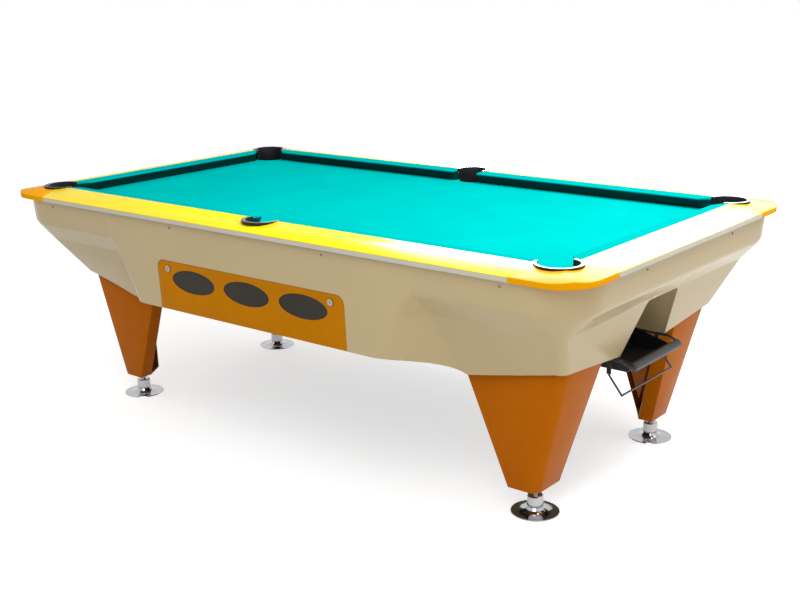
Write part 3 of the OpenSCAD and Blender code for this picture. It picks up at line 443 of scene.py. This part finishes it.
END_Y = (0.32 * 2 * PLAY_Y, 0.195 * 2 * PLAY_Y, 0.13 * 2 * PLAY_Y, 0)


def join_row(side, haunch, corner, end):
    """Side, haunch, corner and end of a level, with smooth stretches between them."""
    run = curve_through([side[-1], haunch, corner[0]], side[-2], corner[1], 6)[1:-1]
    mirrored = Vector((end[2].x, -end[2].y, end[2].z))
    close = curve_through([corner[-1]] + end, corner[-2], mirrored, 5)[1:]
    return side + run + corner + close


def shell_rows():
    def haunch(inset, z):
        return Vector((HAUNCH_X[1], HALF_W - inset, z))

    def level(k, inset, z, r, end_z):
        return join_row(side_row(k, inset, z), haunch(inset, z), corner_row(inset, inset, r, z, z),
                        [Vector((HALF_L - inset, y, ez)) for y, ez in zip(END_Y, end_z)])

    top = level(0, TOP_IN, SHELL_Z, TOP_ROUND, [SHELL_Z] * 4)
    crease = level(1, CREASE_IN, CREASE_Z, CREASE_ROUND, [CREASE_Z] * 4)
    sharp = level(2, SHARP_IN, SHARP_Z, LOW_ROUND, [SHARP_Z + END_RISE * q for q in (0.6, 0.9, 1, 1)])
    foot = join_row(side_row(4, FOOT_SIDE_IN, FOOT_Z[0]), haunch(FOOT_HAUNCH_IN, FOOT_Z[1]),
                    corner_row(FOOT_END_IN, FOOT_HAUNCH_IN, LOW_ROUND, FOOT_Z[2], FOOT_Z[2]),
                    [Vector((HALF_L - lerp(FOOT_END_IN, FOOT_ALCOVE_IN, q), y, lerp(FOOT_Z[2], FOOT_Z[3], q)))
                     for y, q in zip(END_Y, (0.35, 0.8, 1, 1))])
    swept = side_row(3, (SHARP_IN + FOOT_SIDE_IN) / 2, (SHARP_Z + FOOT_Z[0]) / 2)
    middle = [swept[i] if i < len(swept) else (a + b) / 2 for i, (a, b) in enumerate(zip(sharp, foot))]
    return [top, crease, sharp, middle, foot]


def inward(row, d):
    out = []
    for i, p in enumerate(row):
        a = Vector((-row[1].x, row[1].y, 0)) if i == 0 else row[i - 1]
        b = Vector((row[-2].x, -row[-2].y, 0)) if i == len(row) - 1 else row[i + 1]
        t = Vector((b.x - a.x, b.y - a.y)).normalized()
        out.append(Vector((p.x + t.y * d, p.y - t.x * d, p.z)))
    return out


def rounded_down(points, radii, steps=6):
    """A line down through points whose inner corners are rounded off."""
    out = [points[0]]
    for i in range(1, len(points) - 1):
        p, a, b = points[i], points[i - 1], points[i + 1]
        ra = min(radii[i - 1], (a - p).length * 0.45)
        rb = min(radii[i - 1], (b - p).length * 0.45)
        s, e = p + (a - p).normalized() * ra, p + (b - p).normalized() * rb
        for j in range(steps + 1):
            t = j / steps
            out.append((1 - t) ** 2 * s + 2 * t * (1 - t) * p + t * t * e)
    return out + [points[-1]]


def all_round(row):
    n = len(row)
    return (row + [Vector((row[i].x, -row[i].y, row[i].z)) for i in range(n - 2, -1, -1)]
            + [Vector((-row[i].x, -row[i].y, row[i].z)) for i in range(1, n)]
            + [Vector((-row[i].x, row[i].y, row[i].z)) for i in range(n - 2, 0, -1)])


def shell_mesh():
    rows = shell_rows()
    inner = [inward(r, WALL) for r in rows[:0:-1]]
    top_in = inward(rows[0], WALL)
    tip = inward(rows[0], FLANGE_W)
    flange = SHELL_Z - FLANGE_T
    rings_q = []
    n = len(rows[0])
    outer = [rounded_down([r[i] for r in rows], (16 * MM, 6 * MM, 60 * MM)) for i in range(n)]
    for k in range(len(outer[0])):
        rings_q.append([outer[i][k] for i in range(n)])
    lip = [[lerp(Vector(a), Vector(b), 0.5) + Vector((0, 0, -1.6 * MM)) for a, b in zip(rows[4], inner[0])]]
    rings_q += lip + inner
    rings_q.append([Vector((p.x, p.y, flange)) for p in top_in])
    rings_q.append([Vector((p.x, p.y, flange)) for p in tip])
    rings_q.append([Vector((p.x, p.y, SHELL_Z)) for p in tip])
    rings = [all_round(r) for r in rings_q]
    m, w = len(rings), len(rings[0])
    points = [p for r in rings for p in r]
    faces = [f for j in range(m) for f in ring_faces(j * w, (j + 1) % m * w, w)]
    return points, faces


def prism(name, outline, place):
    """A closed cutter: an outline in its own plane, put in place at both ends by place(u, v, end)."""
    n = len(outline)
    points = [place(u, v, 0) for u, v in outline] + [place(u, v, 1) for u, v in outline]
    faces = [tuple(range(n)), tuple(range(2 * n - 1, n - 1, -1))]
    faces += [(i, (i + 1) % n, n + (i + 1) % n, n + i) for i in range(n)]
    mesh = bpy.data.meshes.new(name)
    mesh.from_pydata([tuple(p) for p in points], [], faces)
    bm = bmesh.new()
    bm.from_mesh(mesh)
    bmesh.ops.recalc_face_normals(bm, faces=bm.faces)
    bm.to_mesh(mesh)
    bm.free()
    obj = bpy.data.objects.new(name, mesh)
    bpy.context.scene.collection.objects.link(obj)
    return obj


def cut(obj, cutters):
    for c in cutters:
        mod = obj.modifiers.new("cut", "BOOLEAN")
        mod.operation = "DIFFERENCE"
        mod.solver = "EXACT"
        mod.object = c
    bpy.context.view_layer.update()
    done = bpy.data.meshes.new_from_object(obj.evaluated_get(bpy.context.evaluated_depsgraph_get()))
    obj.modifiers.clear()
    obj.data = done
    for c in cutters:
        bpy.data.objects.remove(c)


def arc(cx, cy, r, a0, a1, steps=8):
    return [(cx + r * math.cos(math.radians(lerp(a0, a1, i / steps))),
             cy + r * math.sin(math.radians(lerp(a0, a1, i / steps)))) for i in range(steps + 1)]


# Half widths and corner radii of the two openings cut into the shell, whose cutters reach below its foot
ALCOVE_TOP = 99 * MM
ALCOVE_FOOT = 140 * MM
ALCOVE_ROUND = 22 * MM
ALCOVE_Z = SHELL_Z - 154 * MM
PANEL_HALF = 391.5 * MM
PANEL_TOP = APRON_Z + 163.5 * MM
PANEL_ROUND = 28 * MM
CUT_BELOW = 0.06


def alcove_outline():
    r = ALCOVE_ROUND
    slope = (ALCOVE_FOOT - ALCOVE_TOP) / (ALCOVE_Z - FOOT_Z[3])
    low = FOOT_Z[0] - CUT_BELOW
    foot = ALCOVE_FOOT + (FOOT_Z[3] - low) * slope
    return ([(foot, low)] + arc(ALCOVE_TOP - r, ALCOVE_Z - r, r, 12, 90)
            + arc(r - ALCOVE_TOP, ALCOVE_Z - r, r, 90, 168) + [(-foot, low)])


def panel_outline():
    r = PANEL_ROUND
    return ([(-PANEL_HALF, APRON_Z - CUT_BELOW), (PANEL_HALF, APRON_Z - CUT_BELOW)]
            + arc(PANEL_HALF - r, PANEL_TOP - r, r, 0, 90) + arc(r - PANEL_HALF, PANEL_TOP - r, r, 90, 180))


def make_shell():
    points, faces = shell_mesh()
    shell = add_mesh("shell.moulded", points, faces, ["shell"], angle=24)
    alcove = prism("cut.alcove", alcove_outline(), lambda u, v, e: (HALF_L - 0.3 + 0.5 * e, u, v))
    panel = prism("cut.panel", panel_outline(), lambda u, v, e: (u, -HALF_W - 0.05 + 0.1 * e, v))
    cut(shell, [alcove, panel])
    shell.data.set_sharp_from_angle(angle=math.radians(24))


make_shell()


# Cloth: stretched over the slab, turned down over the mouths of the pockets

def fill_outline(name, outline, z, nodes, extra_faces, extra_points):
    flat = [(p.x, p.y) for p in outline]
    verts, _, tris, *_ = delaunay_2d_cdt([Vector(p) for p in flat], [], [list(range(len(flat)))], 1, 1e-7)
    points = [Vector((v.x, v.y, z)) for v in verts]
    base = len(points)
    faces = [tuple(t) for t in tris] + [tuple(base + i for i in f) for f in extra_faces]
    return add_mesh(name, points + extra_points, faces, nodes, 40)


def make_cloth():
    edge_x, edge_y = PLAY_X + CUSHION_W - 1 * MM, PLAY_Y + CUSHION_W - 1 * MM
    wall = LINER_WALL
    middle = Vector((0, MIDDLE_Y))
    row = []
    mouths = []

    def sweep(centre, r, a0, a1, steps):
        return [Vector((x, y, 0)) for x, y in arc(centre.x, centre.y, r, a0, a1, steps)]

    drop = MIDDLE_Y - edge_y
    end = 360 - math.degrees(math.asin(drop / (MIDDLE_R + wall + 1 * MM)))
    mouths.append((middle, 195, 345, MIDDLE_R))
    row += sweep(middle, MIDDLE_R + wall, 270, 345, 20)
    row += sweep(middle, MIDDLE_R + wall + 1 * MM, 345, end, 2)
    reach = edge_y - CORNER.y
    r = CORNER_R + wall
    start = 180 - math.degrees(math.asin(reach / (r + 1 * MM)))
    side_from = row[-1].x
    side_to = CORNER.x + math.cos(math.radians(start)) * (r + 1 * MM)
    row += [Vector((lerp(side_from, side_to, i / 12), edge_y, 0)) for i in range(1, 12)]
    row += sweep(CORNER, r + 1 * MM, start, 171, 3)
    row += sweep(CORNER, r, 171, 279, 34)
    row += sweep(CORNER, r + 1 * MM, 279, 450 - start, 3)
    mouths.append((CORNER, 171, 279, CORNER_R))
    last = row[-1].y
    row += [Vector((edge_x, last * (1 - i / 6), 0)) for i in range(1, 7)]
    outline = all_round(row)
    # Turned edge: rings from the flat cloth down over the liner's wall
    points, faces = [], []
    turn = [(wall, 0), (wall * 0.62, -0.0002), (wall * 0.3, -0.0009), (wall * 0.06, -0.0024),
            (-0.0006, -0.0045), (-0.0007, -0.009)]
    for centre, a0, a1, r in mouths:
        n = 40
        for sx in ((1,) if centre is middle else (1, -1)):
            for sy in (1, -1):
                base = len(points)
                for grow, dz in turn:
                    for i in range(n + 1):
                        a = math.radians(lerp(a0, a1, i / n))
                        points.append(Vector((sx * (centre.x + (r + grow) * math.cos(a)),
                                              sy * (centre.y + (r + grow) * math.sin(a)), BED_Z + dz)))
                w = n + 1
                for k in range(len(turn) - 1):
                    low, high = base + k * w, base + (k + 1) * w
                    faces += [(low + i, low + i + 1, high + i + 1, high + i) for i in range(n)]
    cloth = fill_outline("cloth", outline, BED_Z, ["bed_cloth"], faces, points)
    bm = bmesh.new()
    bm.from_mesh(cloth.data)
    up = sum((f.normal.z * f.calc_area() for f in bm.faces))
    if up < 0:
        bmesh.ops.reverse_faces(bm, faces=bm.faces)
    bm.to_mesh(cloth.data)
    area = sum(f.calc_area() for f in bm.faces)
    bm.free()
    return cloth


# Cushions: cloth over rubber, with a rounded nose and mitred ends that clear the pockets

# How far a mitred end runs along the cushion for each metre outward from its nose
MITRE = 1.279

def cushion_profile():
    """Closed section, as distance outward from the nose and height."""
    nose, foot, back = NOSE_Z, BED_Z + 0.4 * MM, RAIL_IN_Z
    pts = [(1.2 * MM, nose - 9 * MM), (0.25 * MM, nose - 7.6 * MM), (0, nose - 6 * MM), (0, nose - 3.4 * MM),
           (0.35 * MM, nose - 1.7 * MM), (1.3 * MM, nose - 0.6 * MM), (2.8 * MM, nose - 0.05 * MM)]
    for i in range(1, 9):
        t = i / 8
        d = lerp(2.8 * MM, CUSHION_W - 1.6 * MM, t)
        pts.append((d, lerp(nose, back, d / CUSHION_W) + 0.35 * MM * math.sin(math.pi * t)))
    pts += [(CUSHION_W - 0.5 * MM, back - 0.6 * MM), (CUSHION_W, back - 2.2 * MM), (CUSHION_W, foot),
            (32 * MM, foot), (20 * MM, foot), (15.5 * MM, foot + 4 * MM), (12.5 * MM, BED_Z + 12 * MM),
            (8 * MM, BED_Z + 18.5 * MM), (4 * MM, BED_Z + 24 * MM)]
    return pts


def make_cushion(name, node_name, span, place):
    """span(d, z) gives the start and end along the cushion there; place(s, d, z) puts a point."""
    section = cushion_profile()
    cx = sum(p[0] for p in section) / len(section)
    cz = sum(p[1] for p in section) / len(section)
    insets = [(0, 2.2), (0.5, 1.0), (1.4, 0.3), (2.8, 0.0)]
    stations = [(0, off * MM, pull * MM) for off, pull in insets]
    stations += [(i / 28, 0, 0) for i in range(1, 28)]
    stations += [(1, -off * MM, pull * MM) for off, pull in reversed(insets)]
    points, faces = [], []
    n = len(section)
    for t, off, pull in stations:
        for d, z in section:
            a, b = span(d, z)
            v = Vector((cx - d, cz - z))
            v = v.normalized() * min(pull, v.length * 0.5)
            points.append(place(lerp(a, b, t) + off, d + v.x, z + v.y))
    for k in range(len(stations) - 1):
        faces += ring_faces(k * n, (k + 1) * n, n)
    faces += [tuple(range(n - 1, -1, -1)), tuple(range((len(stations) - 1) * n, len(stations) * n))]
    obj = add_mesh(name, points, faces, [node_name], angle=55)
    return obj


def clear_of(centre, r, other, side):
    """Where a line at other clears a circle: its coordinate on the side (-1 or 1) of the centre."""
    d = abs(other - centre[1])
    return centre[0] + side * math.sqrt(max(0, r * r - d * d))


def liner_room(r, lip, z):
    """Clear radius round a liner at a height: its tube's below the lip's seat, and the lip's above it."""
    return r + lerp(LINER_WALL, lip, min(1, max(0, (z - LIP_Z) / (0.5 * MM) + 1))) + LIP_GAP


def side_span(d, z):
    y = PLAY_Y + d
    tip = PLAY_X - 73 * MM + d * MITRE
    a = max(51.5 * MM - d * 5.5 / 60, clear_of((0, MIDDLE_Y), liner_room(MIDDLE_R, MIDDLE_LIP, z), y, 1))
    return a, min(tip, clear_of(CORNER, liner_room(CORNER_R, CORNER_LIP, z), y, -1))


def end_span(d, z):
    x = PLAY_X + d
    tip = PLAY_Y - 82 * MM + d * MITRE
    b = min(tip, clear_of((CORNER.y, CORNER.x), liner_room(CORNER_R, CORNER_LIP, z), x, -1))
    return -b, b


def make_cushions():
    for y, side in ((-1, "front"), (1, "back")):
        for x, end in ((-1, "far"), (1, "near")):
            make_cushion(f"cushion_{side}_{end}.cloth", f"cushion_{side}_{end}", side_span,
                         lambda s, d, z, x=x, y=y: Vector((x * s, y * (PLAY_Y + d), z)))
    for x, end in ((-1, "far"), (1, "near")):
        make_cushion(f"cushion_end_{end}.cloth", f"cushion_end_{end}", end_span,
                     lambda s, d, z, x=x: Vector((x * (PLAY_X + d), s, z)))


# Padded roll of the ball tray: a sewn sleeve with end seams and a seam along it

ROLL_X = HALF_L - 112 * MM
ROLL_Z = FOOT_Z[3] - 24 * MM


def make_roll():
    h, r, hole_r = 143 * MM, 14 * MM, 4.2 * MM
    rows, n = 130, 48
    points, faces = [], []
    for k in range(rows + 1):
        t = -1 + 2 * k / rows
        s = abs(t) * h
        end = max(0.0, 1 - (h - s) / (6 * MM))
        rr = (r - 1 * MM * t * t) * math.sqrt(max(0.0, 1 - end**2 * 0.72))
        rr -= 0.7 * MM * math.exp(-((h - s - 12 * MM) / (1.2 * MM)) ** 2)
        for i in range(n):
            a = 2 * math.pi * i / n
            pull = 0.28 * MM * math.sin(5 * a + 9 * t) * math.sin(31 * t + 2 * math.cos(a)) * (0.4 + 0.6 * t * t)
            seam = abs((a - math.radians(250) + math.pi) % (2 * math.pi) - math.pi)
            pull -= 0.9 * MM * math.exp(-(seam / 0.09) ** 2)
            q = rr + pull
            points.append(Vector((ROLL_X + q * math.cos(a), t * h, ROLL_Z + q * math.sin(a))))
    for k in range(rows):
        faces += ring_faces(k * n, (k + 1) * n, n)
    hole = len(points)
    for t, k in ((-1, 0), (1, rows)):
        for i in range(n):
            a = 2 * math.pi * i / n
            points.append(Vector((ROLL_X + hole_r * math.cos(a), t * h * 0.999, ROLL_Z + hole_r * math.sin(a))))
        base = hole + (0 if k == 0 else n)
        faces += ring_faces(k * n, base, n)
    roll = add_mesh("tray_roll.sleeve", points, faces, ["tray_roll"], angle=50)


make_cloth()
make_cushions()
make_roll()
for name in ("rail_front", "rail_back", "rail_far", "rail_near"):
    soften(name, 1.2 * MM)
for name in ("strip_sides", "strip_ends"):
    soften(name, 0.8 * MM)
for name in NODES:
    if name.startswith("corner_"):
        soften(name, 2.2 * MM, 4)
    elif name.startswith("pocket_") and name != "pocket_drops":
        soften(name, 1.2 * MM)
    elif name.startswith("leg_") and name.split("_")[1] in ("front", "back"):
        soften(name, 1.6 * MM)
soften("service_panel", 1.0 * MM)

# The softbox behind is mirrored by the paint of the rails and castings and by the liners, and not by chrome
painted = bpy.data.collections.new("painted")
for obj in bpy.data.objects:
    if obj.name.endswith(".soft") and obj.name.startswith(("rail_", "corner_", "pocket_", "strip_")):
        painted.objects.link(obj)
softbox.light_linking.receiver_collection = painted
